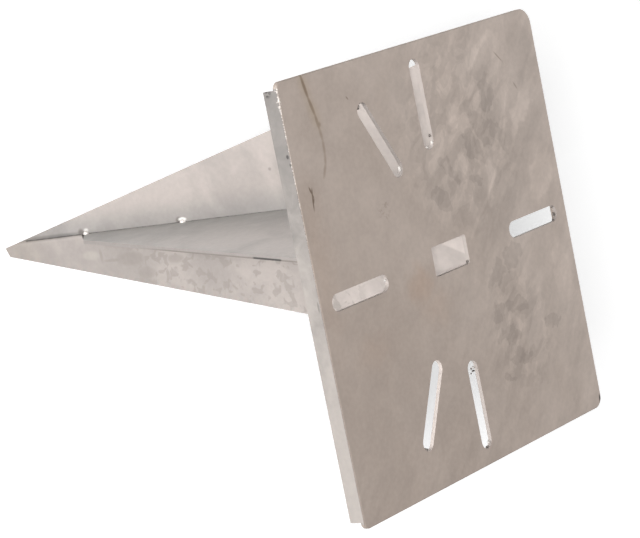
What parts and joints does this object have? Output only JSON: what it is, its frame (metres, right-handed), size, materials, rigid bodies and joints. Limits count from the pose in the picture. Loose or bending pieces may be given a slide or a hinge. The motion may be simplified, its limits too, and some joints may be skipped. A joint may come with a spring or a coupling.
{
  "type": "ground spike",
  "caption": "Ground spike: a square slotted mounting plate with folded sides on two crossed tapering steel sheets, galvanised.",
  "frame": {"origin": "centre of the plate's top face, which is also the centre of the cable hole", "axes": "+Z is the plate's outward normal, up when the spike stands in the soil; X runs across the two folded sides; the blade stands in a plane of constant X"},
  "size_m": [0.2014, 0.2, 0.3002],
  "materials": {
    "zinc_plate": "matte galvanised, faintly stained",
    "zinc_blade": "matte galvanised, cloudy",
    "weld_metal": "bright bead"
  },
  "bodies": {
    "root": {"top_plate": "zinc_plate", "blade": "zinc_blade", "cross_fin": "zinc_blade", "weld_beads": "weld_metal"}
  },
  "joints": []
}
